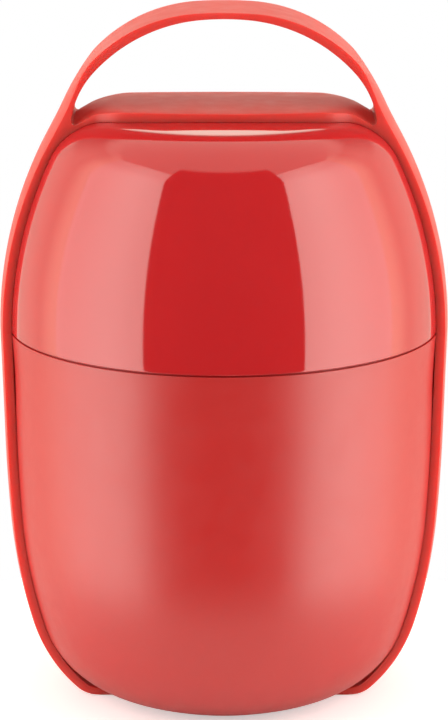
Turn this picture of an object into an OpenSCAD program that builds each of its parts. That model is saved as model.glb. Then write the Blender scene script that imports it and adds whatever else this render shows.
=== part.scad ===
// Two-tier lunch pot: a round pot with a domed lid, held shut by one elastic
// strap that passes under the base, lies over the lid as a flat pad and rises
// above it as a carrying handle.  Millimetres; +Z up, the strap runs along X,
// the pot's foot stands on z = 0.

/* [Body] */
// Diameter of the pot and the lid at the seam between them
body_d = 115.2; // [104:0.4:126]
// Wall of the moulded pot
pot_wall = 2.4; // [2:0.1:2.8]
// Wall of the moulded dome lid
lid_wall = 2.25; // [2.05:0.05:2.5]
// Open seam between pot and lid, with the gasket behind it
seam_gap = 0.5; // [0.3:0.05:0.8]

/* [Strap] */
// Width of the strap at the sides and of the handle
strap_w = 24.8; // [22:0.4:27.2]
// Thickness of the strap where it hugs the pot
strap_t = 2.1; // [1.7:0.1:2.5]
// Working gap between the strap and the pot
strap_gap = 0.32; // [0.26:0.02:0.4]
// Thickness of the flat pad over the lid
pad_t = 2.5; // [2.1:0.1:2.9]
// Width of the pad at its middle
pad_w = 35.6; // [33.2:0.4:38.8]
// Height of the handle's top above the pad
handle_h = 25; // [22:0.5:29]
// Thickness of the handle at its top
handle_t = 1.6; // [1.4:0.1:2.2]

/* [Bowls] */
// Sheet thickness of the steel lower bowl
steel_t = 0.8; // [0.6:0.1:1]
// Height of the upper bowl
upper_h = 37.4; // [32:0.2:38]
// Wall of the upper bowl and of both inner covers
bowl_wall = 1.6; // [1.3:0.1:1.9]
// Lift of the vent plug in its hole
vent_lift = 2.5; // [1.5:0.1:2.6]

/* [Hidden] */
$fn = 96;
k = body_d / 115.2;        // scale of the outline
seam_r = body_d / 2;
fit = 0.3;                 // working gap between separate bodies

// A pen that draws lines [length, 0] and arcs [radius, signed sweep], from point p along heading h.
function pen(p, h, R, s) = s == 0 ? p + R * [cos(h), sin(h)]
    : p + R * sign(s) * ([-sin(h), cos(h)] + [sin(h + s), -cos(h + s)]);
function trace(p, h, segs, i = 0) = i == len(segs) ? [p]
    : let (R = segs[i][0], s = segs[i][1], n = max(2, ceil(abs(s) * pow(R, 0.4) / 16)))
      concat([p], s == 0 ? [] : [for (j = [1:n - 1]) pen(p, h, R, s * j / n)], trace(pen(p, h, R, s), h + s, segs, i + 1));
function last(v) = v[len(v) - 1];
function rev(v) = [for (i = [len(v) - 1:-1:0]) v[i]];
function tail(v) = [for (i = [1:len(v) - 1]) v[i]];
function flip(v, x, y) = [for (p = v) [x * p[0], y * p[1]]];
function both(v) = concat(v, rev(flip(tail(v), -1, 1)));   // v starts on the axis

// Outline of the pot below the seam: a slight waist, then ever tighter arcs down to the foot.
waist = 0.76 * k;
waist_dz = 17.55 * k;
waist_s = 2 * atan(waist / waist_dz);
waist_R = waist_dz / sin(waist_s);
side = [[470.3 * k, 4.06], [139.4 * k, 13.3], [26.236 * k, 50.41], [176.8 * k, 2.23]];
function inset(arcs, off) = [for (a = arcs) [a[0] - off, -a[1]]];
seam_z = -last(trace([0, -waist_dz], -90, inset(side, 0)))[1];   // puts the foot on z = 0
function pot_line(off) = concat([[seam_r - off, seam_z]],
    tail(trace([seam_r - off, seam_z], -90 - waist_s, [[waist_R + off, waist_s]])),
    tail(trace([seam_r - waist - off, seam_z - waist_dz], -90, inset(side, off))));

// Outline of the dome above the seam, up to its flat top.
dome = [[111.3 * k, 25.06], [17.75 * k, 64.94]];
dome_z = seam_z + 0.25;
function dome_line(off) = trace([seam_r - off, dome_z], 90, [for (a = dome) [a[0] - off, a[1]]]);
dome_top = last(dome_line(0))[1];

// Outline of the strap where it hugs the pot: taut below the seam, then round the pot's corner
// and flat under the base.  off = 0 is its inner face.
under_z = 0.25;                                    // the strap's underside clears the table by this
under_top = under_z + strap_t;
belt_r = seam_r + strap_gap;
belt_s = 1.59;
function belt(off, L) = trace([belt_r + off, seam_z], -90 - belt_s, concat([[L, 0]],
    [for (a = [[445, 2.94], [141.7, 11.55], [38.8, 30.27], [5.43, 43.65]]) [a[0] * k + off, -a[1]]]));
belt_L = 30.1 * k + (last(belt(0, 30.1 * k))[1] - under_top) / cos(belt_s);

// Outer face of the strap over the lid's shoulder: an arc, a straight run and a slight outward turn.
rise = [[110 * k, 28], [5.6 * k, 0], [60 * k, -7], [45 * k, 0]];
pad_z = dome_top + strap_gap + 0.18;               // underside of the pad
pad_top = pad_z + pad_t;
apex_z = pad_top + handle_h;

spigot_r = seam_r - lid_wall - 0.35;
spigot_in = spigot_r - 1.8;
rest_z = seam_z + 4.6;                             // where the lower bowl's flange rests
floor_z = under_top + fit + pot_wall;              // floor inside the pot, above the strap's groove
bowl_r = spigot_in - 0.7;                          // outside of the lower bowl
flange_r = spigot_r - 0.3;
flange_t = 1;
cover_z = rest_z + flange_t + fit;                 // underside of the lower cover's flange
well_z = seam_z - 3.4;                             // floor of the well in the lower cover
plug_r = bowl_r - steel_t - 0.45;
upper_r = 46.46 * k;                               // outside of the upper bowl at its rim
upper_rim = well_z + upper_h;
punt_h = 3.4 + vent_lift;                          // hollow under the upper bowl, over the vent plug
vent_r = 3;

module spun(points) { rotate_extrude() polygon(points); }
module ring(r_out, r_in, h) { difference() { cylinder(h = h, r = r_out); translate([0, 0, -1]) cylinder(h = h + 2, r = r_in); } }
// A figure in the XZ plane, extruded along Y over the width w.
module across(w) { translate([0, w / 2, 0]) rotate([90, 0, 0]) linear_extrude(w) children(); }

module pot_shell() {
    cut_z = seam_z - seam_gap / 2;
    color([0.80, 0.16, 0.14]) difference() {
        union() {
            difference() {
                spun(concat([[0, 0]], rev(pot_line(0)), [[0, seam_z]]));
                translate([0, 0, cut_z]) cylinder(h = 4, r = body_d);
            }
            translate([0, 0, seam_z - 4]) cylinder(h = 4 + rest_z - seam_z, r = spigot_r);
        }
        // the inside: the wall's inner line up to a straight mouth, on a flat floor
        intersection() {
            spun(concat([[0, 0]], rev(pot_line(pot_wall)), [[seam_r - pot_wall, rest_z + 1], [0, rest_z + 1]]));
            translate([0, 0, floor_z]) cylinder(h = rest_z + 2 - floor_z, r = spigot_in);
        }
        // seat of the gasket
        translate([0, 0, cut_z - 0.9]) ring(seam_r - 0.6, spigot_r - 0.01, 2);
        // the strap's groove across the foot
        translate([-seam_r, -strap_w / 2 - 0.4, -1]) cube([body_d, strap_w + 0.8, 1 + under_top + fit]);
    }
}

module rim_gasket() {
    color([0.55, 0.07, 0.07]) translate([0, 0, seam_z - seam_gap / 2 - 0.9]) ring(seam_r - 0.6, spigot_r, 0.9 + seam_gap);
}

module dome_lid() {
    rim = seam_z + seam_gap / 2;
    color([0.84, 0.14, 0.12]) difference() {
        spun(concat([[0, rim]], rim < dome_z ? [[seam_r, rim]] : [], dome_line(0), [[0, dome_top]]));
        spun(concat([[0, rim - 2], [seam_r - lid_wall, rim - 2]], dome_line(lid_wall), [[0, dome_top - lid_wall]]));
        translate([0, 0, rim - 4]) cylinder(h = 4, r = body_d);
    }
}

module carry_strap() {
    belt_in = belt(0, belt_L);
    belt_out = belt(strap_t, belt_L);
    over_in = trace([belt_r, dome_z], 90, [for (a = dome) [a[0] + pad_z - dome_top, a[1]]]);
    over_out = trace([belt_r + strap_t, dome_z], 90, rise);
    pad_line = trace([31.04 * k, pad_top], 0, [[17.75 * k + pad_top - dome_top, -50]]);
    arch_out = trace([0, apex_z], 0, [[112.6 * k, -3.81], [40 * k, -52.36], [60 * k, 0]]);
    arch_in = trace([0, apex_z - handle_t], 0, [[71.2 * k, -4.67], [42.94 * k, -42.83], [19 * k, -35], [1.2 * k, -118], [2 * k, 0]]);
    // half of the pad's plan: a shallow bulge, a round corner and a hollow one into the strap's edge
    bend = acos((10 * cos(7.5) + 6 - ((pad_w - strap_w) / 2 / k - 200 * (1 - cos(7.5)))) / 16);
    plan = concat(trace([0, pad_w / 2], 0, [[200 * k, -7.5], [10 * k, 7.5 - bend], [6 * k, bend]]), [[38 * k, strap_w / 2]]);
    color([0.86, 0.24, 0.22]) difference() {
        union() {
            // the belt round the pot, the shoulders and the handle
            intersection() {
                across(strap_w) difference() {
                    polygon(both(concat(arch_out, [[last(arch_out)[0], -5]])));
                    polygon(both(concat(arch_in, [[20 * k, dome_top + 0.7]])));
                }
                spun(concat([[0, under_z]], rev(belt_out), over_out, [[0, last(over_out)[1]]]));
            }
            // the flat pad over the lid
            intersection() {
                translate([0, 0, dome_top - 8 * k]) linear_extrude(pad_top + 1 - dome_top + 8 * k)
                    polygon(concat(plan, rev(flip(plan, 1, -1)), tail(flip(plan, -1, -1)), rev(tail(flip(plan, -1, 1)))));
                spun(concat([[0, pad_top]], pad_line, [[0, last(pad_line)[1]]]));
            }
        }
        spun(concat([[0, under_top]], rev(belt_in), over_in, [[0, pad_z]]));
    }
}

// Inside the pot: the steel bowl hangs from the mouth by its flange.
function bowl_line(off) = let (d = seam_r - waist - bowl_r + off, turn = side[0][1] + side[1][1],
        p = trace([bowl_r - off, rest_z + 2], -90, concat([[rest_z + 2 - seam_z + waist_dz, 0]], inset([side[0], side[1]], d))),
        R = (last(p)[1] - floor_z - 1.2 - off) / (1 - sin(turn)))
    concat(p, tail(trace(last(p), -90 - turn, [[R, turn - 90]])));

module lower_bowl() {
    outer = bowl_line(0);
    inner = bowl_line(steel_t);
    color([0.75, 0.76, 0.78]) difference() {
        union() {
            spun(concat([[0, last(outer)[1]]], rev(outer), [[0, rest_z + 2]]));
            translate([0, 0, rest_z + 0.05]) cylinder(h = flange_t - 0.05, r = flange_r);   // a hairline above its seat
        }
        translate([0, 0, rest_z + flange_t]) cylinder(h = 5, r = seam_r);
        spun(concat([[0, last(inner)[1]]], rev(inner), [[0, rest_z + 2]]));
    }
}

module lower_cover() {
    color([0.93, 0.93, 0.91]) difference() {
        union() {
            translate([0, 0, cover_z]) cylinder(h = bowl_wall, r = flange_r);
            translate([0, 0, well_z - bowl_wall]) cylinder(h = cover_z - well_z + 2 * bowl_wall, r = plug_r);
        }
        translate([0, 0, well_z]) cylinder(h = 20, r = plug_r - bowl_wall);
        translate([0, 0, well_z - 5]) cylinder(h = 10, r = vent_r);
        translate([0, 0, cover_z - 1]) ring(flange_r - 0.5, plug_r + 1.1, 1 + 0.7);
    }
}

module lower_cover_gasket() {
    color([0.80, 0.80, 0.80]) translate([0, 0, rest_z + flange_t]) ring(flange_r - 0.5, plug_r + 1.1, fit + 0.7);
}

module vent_plug() {
    lip_z = well_z - bowl_wall - vent_lift - fit;
    color([0.80, 0.14, 0.12]) union() {
        translate([0, 0, well_z]) cylinder(h = 1.2, r = 6);
        translate([0, 0, well_z + 1.2]) cylinder(h = 0.8, r1 = 6, r2 = 5.2);
        translate([0, 0, lip_z - 0.6]) cylinder(h = well_z - lip_z + 1, r = vent_r - fit);
        translate([0, 0, lip_z - 1.2]) cylinder(h = 1.2, r1 = 3, r2 = 4.2);
    }
}

module upper_bowl() {
    foot = 38.5 * k;
    wall = trace([foot, well_z], 0, [[7 * k, 88.2]]);
    wall_in = trace([foot, well_z + bowl_wall], 0, [[7 * k - bowl_wall, 88.2]]);
    color([0.93, 0.93, 0.91]) difference() {
        spun(concat([[0, well_z]], wall, [[upper_r, upper_rim], [0, upper_rim]]));
        difference() {
            spun(concat([[0, well_z + bowl_wall]], wall_in, [[upper_r - bowl_wall, upper_rim], [upper_r - bowl_wall, upper_rim + 1], [0, upper_rim + 1]]));
            translate([0, 0, well_z]) cylinder(h = punt_h + bowl_wall, r1 = 17 * k + bowl_wall, r2 = 13 * k + bowl_wall);
        }
        translate([0, 0, well_z]) cylinder(h = punt_h, r1 = 17 * k, r2 = 13 * k);
        translate([0, 0, well_z - 1]) cylinder(h = 1.01, r = 17 * k);
    }
}

module upper_cover() {
    z = upper_rim + fit;
    r = upper_r - bowl_wall - 0.55;
    color([0.84, 0.14, 0.12]) difference() {
        union() {
            translate([0, 0, z]) cylinder(h = bowl_wall, r = upper_r + 0.2);
            translate([0, 0, z - 3]) cylinder(h = 3.5, r = r);
        }
        translate([0, 0, z - 3 + bowl_wall]) cylinder(h = 10, r = r - bowl_wall);
        translate([0, 0, z - 1]) ring(upper_r - 0.15, upper_r - bowl_wall + 0.15, 1 + 0.7);
    }
}

module upper_cover_gasket() {
    color([0.80, 0.80, 0.80]) translate([0, 0, upper_rim]) ring(upper_r - 0.15, upper_r - bowl_wall + 0.15, fit + 0.7);
}

pot_shell();
rim_gasket();
dome_lid();
carry_strap();
lower_bowl();
lower_cover();
lower_cover_gasket();
vent_plug();
upper_bowl();
upper_cover();
upper_cover_gasket();
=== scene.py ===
"""Two-tier lunch pot with an elastic carrying strap: finishes and fine meshes over the CAD frame.

The pot, the dome lid and the strap are remade from the same lines and arcs as their solids, with the
small radii of a moulding.  Lengths are millimetres until a mesh is finished, then metres."""
import math

import bmesh
import bpy
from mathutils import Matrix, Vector


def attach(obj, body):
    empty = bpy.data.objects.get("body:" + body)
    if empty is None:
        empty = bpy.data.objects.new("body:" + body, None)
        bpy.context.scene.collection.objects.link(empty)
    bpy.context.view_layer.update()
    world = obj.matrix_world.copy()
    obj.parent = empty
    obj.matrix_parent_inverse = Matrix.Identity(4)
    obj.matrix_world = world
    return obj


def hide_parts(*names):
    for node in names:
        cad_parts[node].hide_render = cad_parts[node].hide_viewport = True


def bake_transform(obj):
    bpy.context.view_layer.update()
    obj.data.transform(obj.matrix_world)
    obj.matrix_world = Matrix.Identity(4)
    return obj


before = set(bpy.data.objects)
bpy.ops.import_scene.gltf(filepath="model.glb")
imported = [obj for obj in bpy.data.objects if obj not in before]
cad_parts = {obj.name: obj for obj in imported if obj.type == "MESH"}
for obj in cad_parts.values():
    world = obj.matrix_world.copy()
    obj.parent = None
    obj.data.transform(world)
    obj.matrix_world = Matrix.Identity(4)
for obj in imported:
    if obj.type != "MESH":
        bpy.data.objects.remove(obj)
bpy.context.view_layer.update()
MM = 0.001

# ---------------------------------------------------------------- camera

CAMERA_PLACE = (0, -0.850, 0.30645)
CAMERA_PITCH = 14.20        # degrees below the horizon
FRAME_HEIGHT = 36           # mm of sensor over the picture's height
FOCAL_LENGTH = 162.48

camera = bpy.data.objects.new("camera", bpy.data.cameras.new("camera"))
camera.data.sensor_fit = "VERTICAL"
camera.data.sensor_height = FRAME_HEIGHT
camera.data.lens = FOCAL_LENGTH
camera.location = CAMERA_PLACE
camera.rotation_euler = (math.radians(90 - CAMERA_PITCH), 0, 0)
bpy.context.collection.objects.link(camera)
bpy.context.scene.camera = camera

# ---------------------------------------------------------------- lines and arcs

ARC_STEP = 0.7              # mm between points of a traced line
SHARP_TURN = 28             # degrees from which soften rounds a corner
CORNER_POINTS = 6           # points along a softened corner


def trace(point, heading, segments):
    """Points of a chain of straight runs (length, 0) and tangent arcs (radius, sweep), angles in degrees."""
    x, z = point
    points = [(x, z)]
    for size, sweep in segments:
        a, turn = math.radians(heading), math.copysign(1, sweep)
        length = size if sweep == 0 else size * math.radians(abs(sweep))
        count = max(2, math.ceil(length / ARC_STEP))
        for i in range(1, count + 1):
            if sweep == 0:
                points.append((x + size * i / count * math.cos(a), z + size * i / count * math.sin(a)))
            else:
                b = a + math.radians(sweep) * i / count
                points.append((x + size * turn * (math.sin(b) - math.sin(a)),
                               z + size * turn * (math.cos(a) - math.cos(b))))
        x, z = points[-1]
        heading += sweep
    return points


def soften(points, radius):
    """The chain with an arc of the radius at each sharp corner."""
    result = [points[0]]
    for before, here, after in zip(points, points[1:], points[2:]):
        to_here, onward = Vector(here) - Vector(before), Vector(after) - Vector(here)
        turn = to_here.angle_signed(onward)
        reach = min(radius * math.tan(abs(turn) / 2), to_here.length * 0.45, onward.length * 0.45)
        if abs(turn) < math.radians(SHARP_TURN) or reach < 0.01:
            result.append(here)
            continue
        start, end = Vector(here) - to_here.normalized() * reach, Vector(here) + onward.normalized() * reach
        for i in range(CORNER_POINTS):                  # a quadratic curve through the corner
            t = i / (CORNER_POINTS - 1)
            result.append(tuple((1 - t) ** 2 * start + 2 * t * (1 - t) * Vector(here) + t * t * end))
    return result + [points[-1]]


def height_at(points, x, across=0):
    """The height of a chain at x, or with across=1 its x at a height.

    The chain runs one way along that axis."""
    ordered = points if points[0][across] < points[-1][across] else points[::-1]
    if x <= ordered[0][across]:
        return ordered[0][1 - across]
    for p, q in zip(ordered, ordered[1:]):
        if x <= q[across]:
            t = (x - p[across]) / max(q[across] - p[across], 1e-9)
            return p[1 - across] + t * (q[1 - across] - p[1 - across])
    return ordered[-1][1 - across]


def offset(arcs, out):
    """The arcs of a line moved out by a distance: a left turn tightens, a right turn opens.

    They open as much for a line moved in, so the wall between the two thins towards the foot."""
    return [(size - math.copysign(out, sweep), sweep) for size, sweep in arcs]


# ---------------------------------------------------------------- the part's named sizes

BODY_R = 57.6               # pot and lid at the seam
SEAM_Z = 101.508
SEAM_GAP = 0.5
POT_RIM_Z = SEAM_Z - SEAM_GAP / 2
DOME_Z = SEAM_Z + SEAM_GAP / 2
POT_WALL, LID_WALL = 2.4, 2.25
FLOOR_Z = 5.05
REST_Z = 106.108            # top of the pot's spigot
SPIGOT_R, SPIGOT_IN = 55.0, 53.2
GASKET_R, GASKET_SEAT_Z = 57.0, 100.358
GROOVE_HALF, GROOVE_TOP = 12.8, 2.65
STRAP_HALF, STRAP_T = 12.4, 2.1
STRAP_R = 57.92             # inside of the strap at the seam
STRAP_SNUG = 0.29           # how much closer the drawn strap lies than its solid, which keeps a margin
UNDER_Z, UNDER_FLAT_R = 0.25, 36.534        # the strap's flat run under the foot: its height and half length
PAD_Z, PAD_TOP, PAD_FLAT_R, PAD_HALF = 159.633, 162.133, 31.04, 17.8
PAD_TOP_FLAT_R = 29.5       # where the pad's top starts to fall towards the shoulders
PAD_CROWN = 0.6             # how far the pad's long edges lie below its middle
APEX_Z, HANDLE_T = 187.133, 1.6
HANDLE_START_Z = 175        # above this the strap's outer face is the handle's alone
LID_CORNER_Z = PAD_Z - 12   # above this the strap widens into the pad
PAD_REACH = 40              # the pad and its hollow corners end within this distance of the axis

WAIST_HEADING, WAIST_R, WAIST_TURN = -94.96, 203, 4.96      # the pot's first arc, from the seam downwards
WAIST_POINT = (56.84, 83.958)               # where it ends, the pot's narrowest place
POT_SIDE = [(470.3, -4.06), (139.4, -13.3), (26.236, -50.41), (176.8, -2.23)]
BELT_HEADING, BELT_RUN = -91.59, 29.485     # the strap's straight run below the seam
BELT_SIDE = [(445, -2.94), (141.7, -11.55), (38.8, -30.27), (5.43, -43.65)]
DOME_SIDE_R, DOME_SIDE_TURN = 111.3, 25.06
DOME_CORNER_R = 17.4
CROWN_TURN = 2.4            # the lid's top falls by this angle from its middle to its corner
ARCH_OUT = [(112.6, -3.81), (41.3, -50), (100, 0)]
ARCH_IN = [(71.2, -4.67), (42.94, -42.83), (24, -30), (1.5, 0), (1.2, -122.5)]
SHOULDER = [(110, 28), (5.6, 0), (60, -7), (45, 0)]
PAD_SHOULDER = [(16, -60)]  # the round fall of the pad's top
PAD_SIDE_R, PAD_SIDE_TURN = 200, 7.5        # the pad's shallow bulge in plan
PAD_CORNER_R, PAD_HOLLOW_R = 10, 6          # its round corner, and the hollow one beside it
PAD_TAIL = 30               # the strap's straight edge beyond the hollow corner

TURN_STEPS = 192            # faces round a turned piece
POT_EDGE, LID_EDGE, GROOVE_EDGE = 0.35, 0.4, 0.3
STRAP_EDGE, STRAP_LID_EDGE = 0.4, 0.15
SLICES = 14                 # parts of the strap's width
UNDER_PARTS = 40            # parts of half its flat run under the foot
PAD_STEP, PAD_POINTS = 0.9, 41              # spacing and count of the points along half the pad's top
OUTSIDE_BLEND, CROTCH_BLEND = 1.6, 0.5      # widths over which two of the strap's faces run together


def pot_line(out):
    """The pot's side moved out by a distance, from the seam to the foot."""
    waist = trace((BODY_R + out, SEAM_Z), WAIST_HEADING, [(WAIST_R - out, WAIST_TURN)])
    return waist + trace((WAIST_POINT[0] + out, WAIST_POINT[1]), -90, offset(POT_SIDE, out))[1:]


def dome_line(out):
    """The lid's figure moved out by a distance: side, corner, and a shallow crown that is level at the axis."""
    corner = (DOME_CORNER_R + out, 90 - DOME_SIDE_TURN - CROWN_TURN)
    lower = trace((BODY_R + out, DOME_Z), 90, [(DOME_SIDE_R + out, DOME_SIDE_TURN), corner])
    crown_r = lower[-1][0] / math.sin(math.radians(CROWN_TURN))
    return lower + trace(lower[-1], 180 - CROWN_TURN, [(crown_r, CROWN_TURN)])[1:]


def belt_line(out):
    """The strap's line moved out by a distance, from the seam to the foot."""
    return trace((STRAP_R + out, SEAM_Z), BELT_HEADING, [(BELT_RUN, 0)] + offset(BELT_SIDE, out))


def pad_plan():
    """Half the strap's edge over the lid: a shallow bulge, a round corner and a hollow one."""
    across = math.cos(math.radians(PAD_SIDE_TURN))
    step_in = PAD_HALF - STRAP_HALF - PAD_SIDE_R * (1 - across)
    level = (PAD_CORNER_R * across + PAD_HOLLOW_R - step_in) / (PAD_CORNER_R + PAD_HOLLOW_R)
    bend = math.degrees(math.acos(level))
    return trace((0, PAD_HALF), 0, [(PAD_SIDE_R, -PAD_SIDE_TURN), (PAD_CORNER_R, PAD_SIDE_TURN - bend),
                                    (PAD_HOLLOW_R, bend), (PAD_TAIL, 0)])


# ---------------------------------------------------------------- mesh helpers

HAIR = 1e-3                 # mm within which a point counts as on a plane
MERGE = 2e-3                # mm within which points become one


def finish_mesh(name, bm):
    """The mesh in metres, smooth and with its faces outwards, as an object of the scene."""
    bmesh.ops.recalc_face_normals(bm, faces=bm.faces)
    bmesh.ops.scale(bm, vec=(MM, MM, MM), verts=bm.verts)
    for face in bm.faces:
        face.smooth = True
    return link_mesh(name, bm)


def link_mesh(name, bm):
    """The mesh as an object of the scene."""
    mesh = bpy.data.meshes.new(name)
    bm.to_mesh(mesh)
    bm.free()
    piece = bpy.data.objects.new(name, mesh)
    bpy.context.collection.objects.link(piece)
    return piece


def turned(points):
    """The chain turned once round Z, with its poles closed."""
    bm = bmesh.new()
    verts = [bm.verts.new((x, 0, z)) for x, z in points]
    for a, b in zip(verts, verts[1:]):
        bm.edges.new((a, b))
    bmesh.ops.spin(bm, geom=bm.verts[:] + bm.edges[:], cent=(0, 0, 0), axis=(0, 0, 1), angle=math.tau,
                   steps=TURN_STEPS, use_merge=True)
    bmesh.ops.remove_doubles(bm, verts=bm.verts, dist=MERGE)
    return bm


def round_edges(bm, edges, radius):
    """The edges rounded over a distance on both their faces."""
    bmesh.ops.bevel(bm, geom=edges, offset=radius, segments=3, profile=0.5, affect="EDGES", material=-1,
                    clamp_overlap=True)


# ---------------------------------------------------------------- pot and lid


def at(value, target):
    return abs(value - target) < HAIR


def cut_groove(bm):
    """Cuts the strap's groove across the foot, with its two walls, its roof and small radii."""
    for side in (-1, 1):
        bmesh.ops.bisect_plane(bm, geom=bm.verts[:] + bm.edges[:] + bm.faces[:], dist=1e-4,
                               plane_co=(0, side * GROOVE_HALF, 0), plane_no=(0, 1, 0))
    low = [f for f in bm.faces if max(v.co.z for v in f.verts) < FLOOR_Z - 0.1]
    around = list({e for f in low for e in f.edges} | {v for f in low for v in f.verts}) + low
    bmesh.ops.bisect_plane(bm, geom=around, dist=1e-4, plane_co=(0, 0, GROOVE_TOP), plane_no=(0, 0, 1))
    cut = [f for f in bm.faces if f.calc_center_median().z < GROOVE_TOP - HAIR
           and abs(f.calc_center_median().y) < GROOVE_HALF]
    bmesh.ops.delete(bm, geom=cut, context="FACES")
    rim = [e for e in bm.edges if e.is_boundary]
    corners = [v for v in {v for e in rim for v in e.verts}
               if at(v.co.z, GROOVE_TOP) and at(abs(v.co.y), GROOVE_HALF)]
    for side in (-1, 1):
        bm.edges.new([v for v in corners if v.co.y * side > 0])
        wall = [e for e in bm.edges if (e.is_boundary or e.is_wire)
                and all(at(v.co.y, side * GROOVE_HALF) for v in e.verts)]
        bmesh.ops.contextual_create(bm, geom=wall)
    roof = [e for e in bm.edges if e.is_boundary and all(at(v.co.z, GROOVE_TOP) for v in e.verts)]
    bmesh.ops.contextual_create(bm, geom=roof)
    sharp = [e for e in bm.edges if len(e.link_faces) == 2 and max(v.co.z for v in e.verts) < GROOVE_TOP + HAIR
             and e.calc_face_angle(0) > math.radians(40)]
    round_edges(bm, sharp, GROOVE_EDGE)


def make_pot():
    """The waisted pot with its spigot, gasket seat and inner wall, then the strap's groove across the foot."""
    outer, inner = pot_line(0), pot_line(-POT_WALL)
    outside = [(x, z) for x, z in outer if z < POT_RIM_Z][::-1]
    seat = [(height_at(outer, POT_RIM_Z, 1), POT_RIM_Z), (GASKET_R, POT_RIM_Z), (GASKET_R, GASKET_SEAT_Z),
            (SPIGOT_R, GASKET_SEAT_Z), (SPIGOT_R, REST_Z), (SPIGOT_IN, REST_Z)]
    inside = [(min(x, SPIGOT_IN), z) for x, z in inner if z > FLOOR_Z]
    floor = [(height_at(inner, FLOOR_Z, 1), FLOOR_Z), (0, FLOOR_Z)]
    bm = turned(soften([(0, 0)] + outside + seat + inside + floor, POT_EDGE))
    cut_groove(bm)
    return finish_mesh("pot_moulding", bm)


def make_lid():
    """The dome with its inner wall and a softened rim."""
    outline = dome_line(0)[::-1] + [(BODY_R - LID_WALL, DOME_Z)] + dome_line(-LID_WALL)[1:]
    return finish_mesh("dome_moulding", turned(soften(outline, LID_EDGE)))


# ---------------------------------------------------------------- strap


class StrapLines:
    """Chains of half the strap's front figure, from the middle outwards, and of its edge in plan."""
    belt_out = belt_line(STRAP_T)
    belt_in = belt_line(-STRAP_SNUG)
    shoulder = trace((STRAP_R + STRAP_T, DOME_Z), 90, SHOULDER)
    arch_out = trace((0, APEX_Z), 0, ARCH_OUT)
    arch_in = trace((0, APEX_Z - HANDLE_T), 0, ARCH_IN)
    over = dome_line(STRAP_R - STRAP_SNUG - BODY_R)
    pad_edge = trace((PAD_TOP_FLAT_R, PAD_TOP), 0, PAD_SHOULDER)
    plan = pad_plan()


def pad_half(x):
    """Half the strap's width at x over the lid."""
    return height_at(StrapLines.plan, abs(x))


def blend_low(a, b, width):
    """The lower of two numbers with the corner between them rounded over width."""
    gap = max(width - abs(a - b), 0) / width
    return min(a, b) - gap * gap * width / 4


def strap_outside_x(z, y):
    """The strap's outer face at a height: round the lid low down, flat across the handle above."""
    cone = math.sqrt(max(height_at(StrapLines.shoulder, z, 1) ** 2 - y * y, 0))
    return blend_low(cone, height_at(StrapLines.arch_out, z, 1), OUTSIDE_BLEND)


def pad_surface(x, y):
    """The height of the pad's top: level lengthwise, crowned across, rounded off towards the shoulders."""
    r = math.hypot(x, y)
    level = PAD_TOP if r <= PAD_TOP_FLAT_R else height_at(StrapLines.pad_edge, r)
    return level - PAD_CROWN * (y / PAD_HALF) ** 2


def strap_figure():
    """The strap's front figure as three loops of half outlines, each point with the kind of face it is on."""
    lines = StrapLines

    def under(height):
        return [(UNDER_FLAT_R * i / UNDER_PARTS, height, "under") for i in range(UNDER_PARTS)]

    outer = under(UNDER_Z) + [(x, z, "round") for x, z in lines.belt_out[::-1]]
    outer += [(x, z, "shoulder") for x, z in lines.shoulder if z < HANDLE_START_Z]
    outer += [(x, z, "across") for x, z in lines.arch_out[::-1] if z >= HANDLE_START_Z]
    cavity = under(UNDER_Z + STRAP_T + STRAP_SNUG) + [(x, z, "round") for x, z in lines.belt_in[::-1]]
    cavity += [(max(x, 0), z, "round" if x > PAD_FLAT_R else "flat") for x, z in lines.over]
    floor = [(i * PAD_STEP, PAD_TOP, "floor") for i in range(PAD_POINTS)]
    hole = [point for point in floor if point[0] < lines.arch_in[-1][0] - 0.5]
    hole += [(x, z, "crotch") for x, z in lines.arch_in[::-1]]
    return outer, cavity, hole


def strap_point(kind, x, z, share):
    """Where a point of the figure's right half goes in the slice at share (-1 to 1) of the strap's width."""
    y = share * STRAP_HALF
    if kind == "under":
        x *= math.sqrt(UNDER_FLAT_R ** 2 - y * y) / UNDER_FLAT_R
    elif kind in ("flat", "floor") or (kind == "round" and z > LID_CORNER_Z and x < PAD_REACH):
        radius = x
        for _ in range(4):                              # x and the pad's width there depend on each other
            y = share * pad_half(x)
            if radius <= PAD_FLAT_R:
                x = radius * math.sqrt(PAD_FLAT_R ** 2 - y * y) / PAD_FLAT_R
            else:
                x = math.sqrt(radius ** 2 - y * y)
        z = pad_surface(x, y) if kind == "floor" else height_at(StrapLines.over, math.hypot(x, y))
    elif kind == "round":
        x = math.sqrt(x * x - y * y)
    elif kind == "shoulder":
        x = strap_outside_x(z, y)
    elif kind == "crotch" and z < PAD_TOP + 2:
        z = -blend_low(-z, -pad_surface(x, y), CROTCH_BLEND)
    return x, y, z


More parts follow.
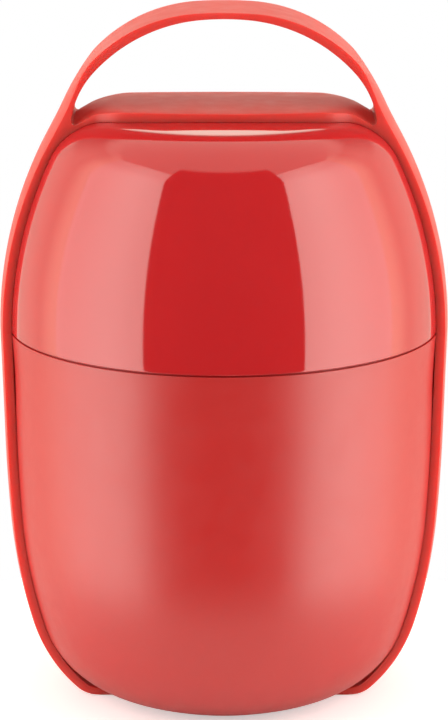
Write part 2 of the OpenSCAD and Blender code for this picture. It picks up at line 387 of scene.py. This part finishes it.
def make_strap():
    """The front figure filled, drawn through the strap's width, then each slice set to its own figure."""
    bm = bmesh.new()
    kind_layer = bm.verts.layers.string.new("kind")
    for loop in strap_figure():
        loop += [(-x, z, kind) for x, z, kind in loop[-2:0:-1]]
        ring = [bm.verts.new((x, -STRAP_HALF, z)) for x, z, _ in loop]
        for vert, (_, _, kind) in zip(ring, loop):
            vert[kind_layer] = kind.encode()
        for a, b in zip(ring, ring[1:] + ring[:1]):
            bm.edges.new((a, b))
    bmesh.ops.triangle_fill(bm, edges=bm.edges[:], use_beauty=True)
    figure = bm.faces[:]
    for slice_number in range(SLICES):
        drawn = bmesh.ops.extrude_face_region(bm, geom=figure)["geom"]
        if slice_number:                                # the last slice's figure would be a wall inside
            bmesh.ops.delete(bm, geom=figure, context="FACES")
        figure = [g for g in drawn if isinstance(g, bmesh.types.BMFace)]
        bmesh.ops.translate(bm, vec=(0, 2 * STRAP_HALF / SLICES, 0),
                            verts=[g for g in drawn if isinstance(g, bmesh.types.BMVert)])
    for vert in bm.verts:
        side = -1 if vert.co.x < 0 else 1
        x, y, z = strap_point(vert[kind_layer].decode(), abs(vert.co.x), vert.co.z, vert.co.y / STRAP_HALF)
        vert.co = (side * x, y, z)
    bmesh.ops.recalc_face_normals(bm, faces=bm.faces)
    # The edges over the lid are the sharper ones.  Each pass finds its edges anew.
    for over_lid, radius in ((True, STRAP_LID_EDGE), (False, STRAP_EDGE)):
        edges = [e for e in bm.edges if len(e.link_faces) == 2 and e.calc_face_angle(0) > math.radians(50)]
        if over_lid:
            edges = [e for e in edges
                     if all(v[kind_layer] in (b"round", b"flat") and v.co.z > DOME_Z for v in e.verts)]
        round_edges(bm, edges, radius)
    return finish_mesh("strap_moulding", bm)


# ---------------------------------------------------------------- materials


def colour(hex_code):
    """An sRGB hex colour as the linear colour of a socket."""
    def linear(c):
        return c / 12.92 if c <= 0.04045 else ((c + 0.055) / 1.055) ** 2.4
    return (*(linear(int(hex_code[i:i + 2], 16) / 255) for i in (0, 2, 4)), 1.0)


def add(tree, kind, settings=None, links=None):
    """Adds a node: settings go to its inputs or to its own properties, links join its inputs to outputs."""
    new = tree.nodes.new(kind)
    for key, value in (settings or {}).items():
        if isinstance(key, int) or key in new.inputs:
            new.inputs[key].default_value = value
        else:
            setattr(new, key, value)
    for key, socket in (links or {}).items():
        tree.links.new(new.inputs[key], socket)
    return new


def combine(tree, operation, a, b):
    """The result of a math operation on two sockets."""
    return add(tree, "ShaderNodeMath", {"operation": operation}, {0: a, 1: b}).outputs[0]


def ramp(tree, source, start, end, low, high, curve="LINEAR"):
    """A value that goes from low to high as the source goes from start to end."""
    return add(tree, "ShaderNodeMapRange", {"interpolation_type": curve, "From Min": start, "From Max": end,
                                            "To Min": low, "To Max": high}, {"Value": source}).outputs["Result"]


def new_material(name):
    """A material with its node tree and the Principled shader in it."""
    material = bpy.data.materials.new(name)
    material.use_nodes = True
    tree = material.node_tree
    return material, tree, tree.nodes["Principled BSDF"]


def add_noise(tree, place, pitch_mm, **settings):
    """A noise texture with the pitch in millimetres."""
    noise = add(tree, "ShaderNodeTexNoise", {"Scale": 1 / (pitch_mm * MM), **settings}, {"Vector": place})
    return noise.outputs["Fac"]


def add_relief(tree, shader, height_mm, height):
    """A bump of the height in millimetres on the shader."""
    relief = add(tree, "ShaderNodeBump", {"Strength": 1.0, "Distance": height_mm * MM}, {"Height": height})
    tree.links.new(shader.inputs["Normal"], relief.outputs["Normal"])


def add_tone(tree, shader, shade, tint, share):
    """The shader's colour as a mix of two, by a share."""
    tone = add(tree, "ShaderNodeMix", {"data_type": "RGBA", 6: colour(shade), 7: colour(tint)}, {0: share})
    tree.links.new(shader.inputs["Base Color"], tone.outputs[2])


def moulded(name, tint, shade, roughness, spread, grain_mm, relief_mm, ior, wave_mm=18, **uniform):
    """A moulded polymer: a slow drift of colour, uneven gloss and the tool's texture as relief.

    tint and shade are the two ends of the colour; grain_mm is the texture's pitch, relief_mm its height."""
    material, tree, shader = new_material(name)
    shader.inputs["IOR"].default_value = ior
    for socket, value in uniform.items():
        shader.inputs[socket.replace("_", " ")].default_value = value
    place = add(tree, "ShaderNodeTexCoord").outputs["Object"]
    add_tone(tree, shader, shade, tint, add_noise(tree, place, wave_mm, Detail=3.0, Roughness=0.55))
    haze = add_noise(tree, place, wave_mm * 0.3, Detail=5.0, Roughness=0.6)
    gloss = ramp(tree, haze, 0.3, 0.7, roughness - spread, roughness + spread)
    tree.links.new(shader.inputs["Roughness"], gloss)
    add_relief(tree, shader, relief_mm, add_noise(tree, place, grain_mm, Detail=2.0, Roughness=0.5))
    return material


# Red light travels a few millimetres inside these plastics, so that their narrow shadows stay red.
RED_GLOW = {"Subsurface_Weight": 0.4, "Subsurface_Radius": (1.0, 0.12, 0.1), "Subsurface_Scale": 0.004}
STRAP_GLOW = {"Subsurface_Weight": 0.9, "Subsurface_Radius": (1.0, 0.15, 0.1), "Subsurface_Scale": 0.006}
# Polished ABS: a wet gloss, with the long faint waves of a thick moulding in its reflections.
gloss_abs = moulded("gloss_abs_polished_tool", "C1272B", "BB2428", 0.06, 0.02, 7, 0.003, 1.58,
                    Coat_Weight=0.6, Coat_Roughness=0.03, **RED_GLOW)
# Polypropylene from a spark-eroded tool: satin; the grain is drawn at 0.6 mm, coarser than real, to show.
satin_pp = moulded("satin_polypropylene_spark_texture", "C12B2A", "BB2827", 0.38, 0.04, 0.6, 0.010, 1.55,
                   Specular_IOR_Level=0.75, **RED_GLOW)
# Thermoplastic elastomer, moulded: matt and the most translucent, with a soft bloom at its edges.
strap_tpe = moulded("strap_elastomer_moulded", "D0433C", "C93E37", 0.5, 0.06, 0.5, 0.012, 1.50,
                    Sheen_Weight=0.05, Sheen_Roughness=0.4, Sheen_Tint=colour("FFC9C0"), **STRAP_GLOW)
# Silicone rubber, moulded: a soft uneven shine; deep red in the seam and the vent, grey on the covers.
red_silicone = moulded("red_silicone_moulded", "9C0F12", "8E0C10", 0.4, 0.08, 0.8, 0.008, 1.41)
clear_silicone = moulded("grey_silicone_moulded", "D2D0CB", "C6C4BF", 0.38, 0.08, 0.8, 0.008, 1.41,
                         Subsurface_Weight=0.3, Subsurface_Scale=0.002)
# Undyed polypropylene: milky, so its shadows are soft, with a satin skin.
natural_pp = moulded("natural_polypropylene_moulded", "DAD6CC", "D0CCC0", 0.33, 0.06, 0.7, 0.006, 1.49,
                     Subsurface_Weight=0.35, Subsurface_Scale=0.003)
# Red polypropylene from a plain tool: opaque, a little glossier than the pot.
red_pp = moulded("red_polypropylene_moulded", "CC3532", "C22C2A", 0.3, 0.05, 0.7, 0.006, 1.49)


def spun_steel():
    """Stainless steel, deep drawn and spun: fine rings round the axis, soft mirror between them."""
    material, tree, shader = new_material("spun_stainless_steel")
    shader.inputs["Metallic"].default_value = 1.0
    place = add(tree, "ShaderNodeTexCoord").outputs["Object"]
    parts = add(tree, "ShaderNodeSeparateXYZ", links={"Vector": place})
    flat = add(tree, "ShaderNodeCombineXYZ", links={"X": parts.outputs["X"], "Y": parts.outputs["Y"]})
    radius = add(tree, "ShaderNodeVectorMath", {"operation": "LENGTH"}, {0: flat.outputs["Vector"]})
    rings = add(tree, "ShaderNodeCombineXYZ", links={"X": radius.outputs["Value"], "Z": parts.outputs["Z"]})
    lines = add_noise(tree, rings.outputs["Vector"], 0.9, Detail=2.0, Roughness=0.5)
    add_tone(tree, shader, "B9BBBE", "CFD1D3", lines)
    gloss = ramp(tree, add_noise(tree, place, 20, Detail=3.0), 0, 1, 0.24, 0.34)
    tree.links.new(shader.inputs["Roughness"], gloss)
    add_relief(tree, shader, 0.0015, lines)
    return material


def finish_with(piece, material):
    """The material as the piece's only one."""
    piece.data.materials.clear()
    piece.data.materials.append(material)


# ---------------------------------------------------------------- pieces on their bodies

for make, node, body, slot, material in ((make_pot, "pot_shell", "pot", "pot", satin_pp),
                                         (make_lid, "dome_lid", "lid", "lid", gloss_abs)):
    piece = make()
    finish_with(piece, material)
    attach(piece, body)
    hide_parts(node)

strap = make_strap()
finish_with(strap, strap_tpe)
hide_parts("carry_strap")
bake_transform(strap)

CAD_FINISHES = {"rim_gasket": red_silicone, "lower_bowl": spun_steel(), "lower_cover": natural_pp,
                "lower_cover_gasket": clear_silicone, "vent_plug": red_silicone, "upper_bowl": natural_pp,
                "upper_cover": red_pp, "upper_cover_gasket": clear_silicone}
for node, material in CAD_FINISHES.items():
    finish_with(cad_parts[node], material)

# ---------------------------------------------------------------- studio lamps

ROOM_OPENING = 42           # degrees either side of the camera without a lamp, where the room is dark
FRONT_END, REAR_END = 98, 150               # degrees from the camera where the front and the rear softbox end
LAMP_WHITE = (1.0, 0.96, 0.9)
REAR_WHITE = (1.0, 0.82, 0.6)
BOX_BOTTOM, BOX_TOP, BOX_DISTANCE = -1.1, 1.75, 1.45    # metres from the pot's foot
GLOW_EDGE = 0.35            # share of a softbox's width over which its near edge brightens
TOP_FADE, TOP_GLOW = 0.72, 0.5              # share of its height from which it fades, and to what
FILL_SIZE, FILL_RADIANCE, FILL_DISTANCE, FILL_ELEVATION = 1.2, 2.0, 2.0, 25


def lamp_object(name, width, height, radiance, place, toward, tint=LAMP_WHITE):
    """A rectangular lamp whose lit face looks back along toward."""
    lamp = bpy.data.lights.new(name, "AREA")
    lamp.shape, lamp.size, lamp.size_y = "RECTANGLE", width, height
    lamp.color = tint
    lamp.energy = radiance * math.pi * width * height
    holder = bpy.data.objects.new(name, lamp)
    holder.location = place
    holder.rotation_euler = toward.to_track_quat("Z", "Y").to_euler()
    holder.visible_camera = False
    bpy.context.collection.objects.link(holder)
    return holder


def side_softbox(name, side, near, far, radiance, glow, tint=LAMP_WHITE):
    """An upright softbox on one side, from azimuth near to far (degrees from the camera).

    glow is its brightness at the near edge, just inside it and at the far edge, as shares of the radiance."""
    middle, half = math.radians((near + far) / 2), math.radians((far - near) / 2)
    toward = Vector((side * math.sin(middle), -math.cos(middle), 0))
    place = toward * BOX_DISTANCE * math.cos(half) + Vector((0, 0, (BOX_TOP + BOX_BOTTOM) / 2))
    width, height = 2 * BOX_DISTANCE * math.sin(half), BOX_TOP - BOX_BOTTOM
    holder = lamp_object(name, width, height, radiance, place, toward, tint)
    holder.data.use_nodes = True
    tree = holder.data.node_tree
    surface = add(tree, "ShaderNodeNewGeometry").outputs["Parametric"]
    on_box = add(tree, "ShaderNodeSeparateXYZ", links={"Vector": surface})
    near_edge, far_edge = (1, 0) if side < 0 else (0, 1)
    glow_end = near_edge + GLOW_EDGE * (far_edge - near_edge)
    rise = ramp(tree, on_box.outputs["X"], near_edge, glow_end, glow[0], glow[1], "SMOOTHSTEP")
    fall = ramp(tree, on_box.outputs["X"], glow_end, far_edge, 1.0, glow[2] / glow[1], "SMOOTHSTEP")
    fade = ramp(tree, on_box.outputs["Y"], TOP_FADE, 1.0, 1.0, TOP_GLOW, "SMOOTHSTEP")
    strength = combine(tree, "MULTIPLY", combine(tree, "MULTIPLY", rise, fall), fade)
    tree.links.new(tree.nodes["Emission"].inputs["Strength"], strength)


for side, word, radiance in ((-1, "left", 2.6), (1, "right", 2.75)):
    side_softbox(word + "_front_softbox", side, ROOM_OPENING, FRONT_END, radiance, (0.85, 1.0, 0.6))
    side_softbox(word + "_rear_softbox", side, FRONT_END, REAR_END, radiance, (0.6, 0.12, 0.0), REAR_WHITE)
# A fill over the camera that a matt surface shows and a gloss does not, as with a polarised lamp.
elevation = math.radians(FILL_ELEVATION)
fill_toward = Vector((0, -math.cos(elevation), math.sin(elevation)))
front_fill = lamp_object("front_fill", FILL_SIZE, FILL_SIZE, FILL_RADIANCE, fill_toward * FILL_DISTANCE,
                         fill_toward)
front_fill.visible_glossy = False

# ---------------------------------------------------------------- stand and room

STAND_R = 0.11              # the round white stand under the pot
STAND_GLOW = 0.45           # keeps the stand as white as the room behind it
DARK = 0.02                 # the room behind the camera
CEILING = 1.05
ROOM_TINT = (1.0, 0.91, 0.78, 1.0)


def seen_directly(tree):
    """1 for rays from the camera and through glass, which see the white sweep itself."""
    path = add(tree, "ShaderNodeLightPath")
    return combine(tree, "MAXIMUM", path.outputs["Is Camera Ray"], path.outputs["Is Transmission Ray"])


stand_bm = bmesh.new()
bmesh.ops.create_circle(stand_bm, cap_ends=True, segments=96, radius=STAND_R)
stand = link_mesh("studio_stand", stand_bm)
# Matt white paper that lights itself a little, so that only the pot's shadow shows on it.
paper, tree, shader = new_material("white_paper_stand")
shader.inputs["Base Color"].default_value = colour("F0F0F0")
shader.inputs["Roughness"].default_value = 0.9
shader.inputs["Emission Color"].default_value = colour("FFFFFF")
lift = add(tree, "ShaderNodeMath", {"operation": "MULTIPLY", 1: STAND_GLOW}, {0: seen_directly(tree)})
tree.links.new(shader.inputs["Emission Strength"], lift.outputs[0])
finish_with(stand, paper)

# The room: a sweep that is brightest low down at the back, a bright ceiling, and dark behind the camera.
world = bpy.data.worlds.new("white_studio")
world.use_nodes = True
tree = world.node_tree
toward = add(tree, "ShaderNodeSeparateXYZ", links={"Vector": add(tree, "ShaderNodeTexCoord").outputs["Generated"]})
flat = add(tree, "ShaderNodeCombineXYZ", links={"X": toward.outputs["X"], "Y": toward.outputs["Y"]})
level = add(tree, "ShaderNodeVectorMath", {"operation": "LENGTH"}, {0: flat.outputs[0]})
bearing = combine(tree, "DIVIDE", toward.outputs["Y"], level.outputs["Value"])


def rising(low, high, bottom, top):
    """A strength that goes from bottom to top between two elevations in degrees."""
    return ramp(tree, toward.outputs["Z"], math.sin(math.radians(low)), math.sin(math.radians(high)), bottom, top)


def backwards(wide, narrow, side, back):
    """A strength that goes from side to back as the bearing nears straight behind, between two angles from it."""
    return ramp(tree, bearing, math.cos(math.radians(wide)), math.cos(math.radians(narrow)), side, back)


open_room = backwards(180 - ROOM_OPENING, 178 - ROOM_OPENING, 0, 1)
sweep = add(tree, "ShaderNodeMix", {"data_type": "FLOAT"},
            {0: rising(22, 27, 0, 1), 2: backwards(40, 20, 0.7, 1.3), 3: backwards(60, 30, 0.75, 0.25)})
around = combine(tree, "MAXIMUM", sweep.outputs[0], rising(37, 46, 0, CEILING))
walls = add(tree, "ShaderNodeMix", {"data_type": "FLOAT", 2: DARK}, {0: open_room, 3: around})
room = combine(tree, "MAXIMUM", walls.outputs[0], rising(57, 62, 0, CEILING))
seen = add(tree, "ShaderNodeMix", {"data_type": "FLOAT", 3: 1.0}, {0: seen_directly(tree), 2: room})
tint = add(tree, "ShaderNodeMix", {"data_type": "RGBA", 6: ROOM_TINT, 7: colour("FFFFFF")},
           {0: seen_directly(tree)})
tree.links.new(tree.nodes["Background"].inputs["Color"], tint.outputs[2])
tree.links.new(tree.nodes["Background"].inputs["Strength"], seen.outputs[0])
bpy.context.scene.world = world
bpy.context.scene.view_settings.view_transform = "Standard"
